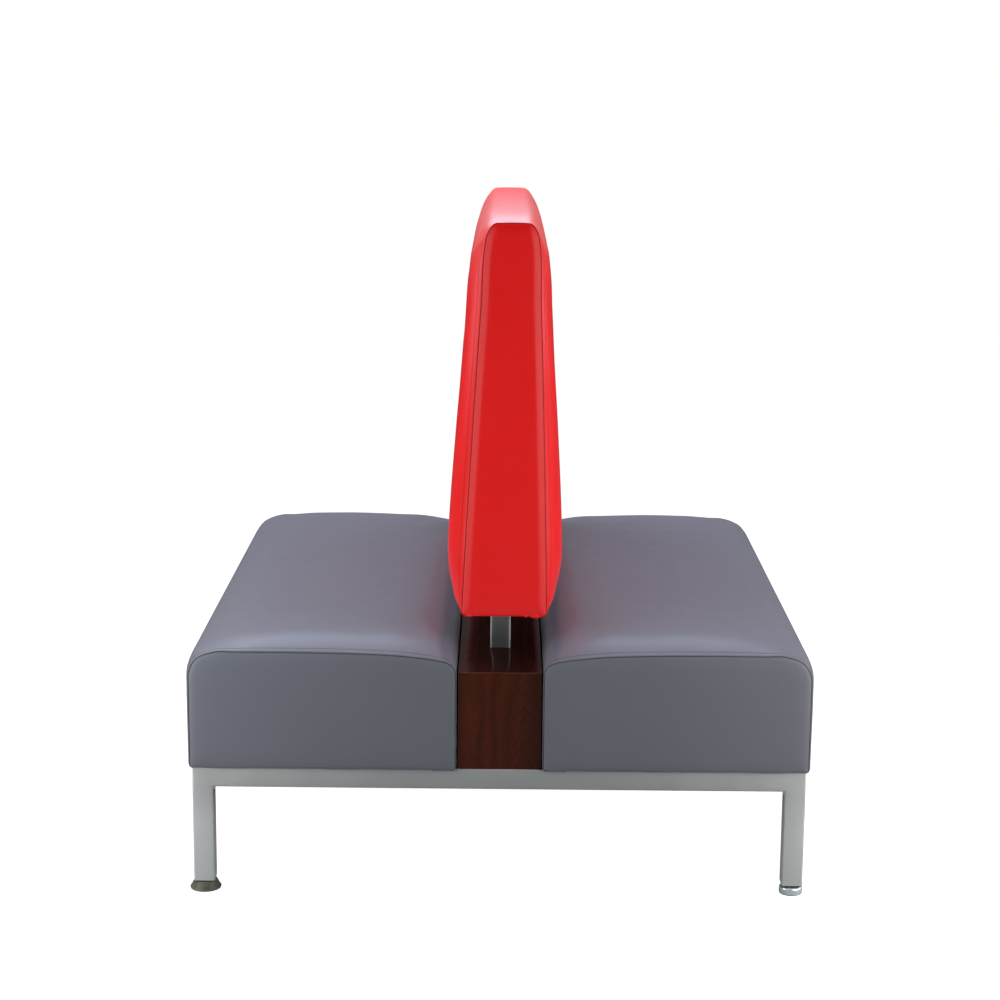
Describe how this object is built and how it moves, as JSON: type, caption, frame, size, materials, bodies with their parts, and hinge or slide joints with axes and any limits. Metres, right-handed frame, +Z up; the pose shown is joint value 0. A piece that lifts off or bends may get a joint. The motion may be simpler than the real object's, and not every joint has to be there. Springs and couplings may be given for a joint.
{
  "type": "double-sided restaurant booth bench",
  "caption": "Back-to-back booth bench: box seats on a square-tube steel frame, with a timber beam between them and an upholstered back on posts above it.",
  "frame": {"origin": "on the floor, at the middle of the bench in both directions", "axes": "+X from the left seat to the right seat, +Y along the bench from the near end, +Z up"},
  "size_m": [1.1428, 1.219, 1.239],
  "materials": {
    "frame_paint": "satin",
    "post_steel": "satin",
    "seat_vinyl": "satin",
    "back_vinyl": "satin",
    "beam_veneer": "gloss",
    "plywood": "matte",
    "foam": "matte",
    "foot_chrome": "polished",
    "foot_bronze": "satin",
    "foot_nylon": "matte",
    "zinc_steel": "satin",
    "leg_plug": "matte",
    "dust_cloth": "matte"
  },
  "bodies": {
    "bench": {"back_bottom_rail": "plywood", "back_cover": "back_vinyl", "back_far_rib": "plywood", "back_left_board": "plywood", "back_left_foam": "foam", "back_near_rib": "plywood", "back_right_board": "plywood", "back_right_foam": "foam", "back_sockets": "zinc_steel", "back_top_rail": "plywood", "beam_blocks": "plywood", "beam_far_end": "beam_veneer", "beam_left_side": "plywood", "beam_near_end": "beam_veneer", "beam_right_side": "plywood", "beam_screws": "zinc_steel", "beam_top": "beam_veneer", "dust_covers": "dust_cloth", "far_cross_bar": "frame_paint", "far_end_rail": "frame_paint", "far_left_leg": "frame_paint", "far_post": "post_steel", "far_right_leg": "frame_paint", "frame_welds": "frame_paint", "left_centre_rail": "frame_paint", "left_seat_base": "plywood", "left_seat_cover": "seat_vinyl", "left_seat_deck": "plywood", "left_seat_foam": "foam", "left_seat_frame": "plywood", "left_side_rail": "frame_paint", "leg_plugs": "leg_plug", "near_cross_bar": "frame_paint", "near_end_rail": "frame_paint", "near_left_leg": "frame_paint", "near_post": "post_steel", "near_right_leg": "frame_paint", "right_centre_rail": "frame_paint", "right_seat_base": "plywood", "right_seat_cover": "seat_vinyl", "right_seat_deck": "plywood", "right_seat_foam": "foam", "right_seat_frame": "plywood", "right_side_rail": "frame_paint", "seat_bolts": "zinc_steel", "seat_inserts": "zinc_steel", "socket_screws": "zinc_steel"},
    "near_left_foot_base": {"near_left_foot_cup": "foot_bronze", "near_left_foot_pad": "foot_nylon"},
    "near_right_foot_base": {"near_right_foot_cup": "foot_chrome", "near_right_foot_pad": "foot_nylon"},
    "far_left_foot_base": {"far_left_foot_cup": "foot_chrome", "far_left_foot_pad": "foot_nylon"},
    "far_right_foot_base": {"far_right_foot_cup": "foot_chrome", "far_right_foot_pad": "foot_nylon"},
    "near_left_foot_screw": {"near_left_foot_stem": "zinc_steel"},
    "near_right_foot_screw": {"near_right_foot_stem": "zinc_steel"},
    "far_left_foot_screw": {"far_left_foot_stem": "zinc_steel"},
    "far_right_foot_screw": {"far_right_foot_stem": "zinc_steel"}
  },
  "joints": [
    {"name": "near_left_foot_travel", "type": "slide", "parent": "bench", "child": "near_left_foot_base", "axis": [0, 0, -1], "range_m": [0, 0.012]},
    {"name": "near_left_foot_turn", "type": "hinge", "parent": "near_left_foot_base", "child": "near_left_foot_screw", "pos_m": [-0.54345, -0.57845, 0.012], "axis": [0, 0, -1], "range_deg": [0, 2880]},
    {"name": "near_right_foot_travel", "type": "slide", "parent": "bench", "child": "near_right_foot_base", "axis": [0, 0, -1], "range_m": [0, 0.012]},
    {"name": "near_right_foot_turn", "type": "hinge", "parent": "near_right_foot_base", "child": "near_right_foot_screw", "pos_m": [0.54345, -0.57845, 0.012], "axis": [0, 0, -1], "range_deg": [0, 2880]},
    {"name": "far_left_foot_travel", "type": "slide", "parent": "bench", "child": "far_left_foot_base", "axis": [0, 0, -1], "range_m": [0, 0.012]},
    {"name": "far_left_foot_turn", "type": "hinge", "parent": "far_left_foot_base", "child": "far_left_foot_screw", "pos_m": [-0.54345, 0.57845, 0.012], "axis": [0, 0, -1], "range_deg": [0, 2880]},
    {"name": "far_right_foot_travel", "type": "slide", "parent": "bench", "child": "far_right_foot_base", "axis": [0, 0, -1], "range_m": [0, 0.012]},
    {"name": "far_right_foot_turn", "type": "hinge", "parent": "far_right_foot_base", "child": "far_right_foot_screw", "pos_m": [0.54345, 0.57845, 0.012], "axis": [0, 0, -1], "range_deg": [0, 2880]}
  ],
  "couplings": [
    {"joint": "near_left_foot_turn", "follows": "near_left_foot_travel", "rad_per_m": 4188.8},
    {"joint": "near_right_foot_turn", "follows": "near_right_foot_travel", "rad_per_m": 4188.8},
    {"joint": "far_left_foot_turn", "follows": "far_left_foot_travel", "rad_per_m": 4188.8},
    {"joint": "far_right_foot_turn", "follows": "far_right_foot_travel", "rad_per_m": 4188.8}
  ]
}
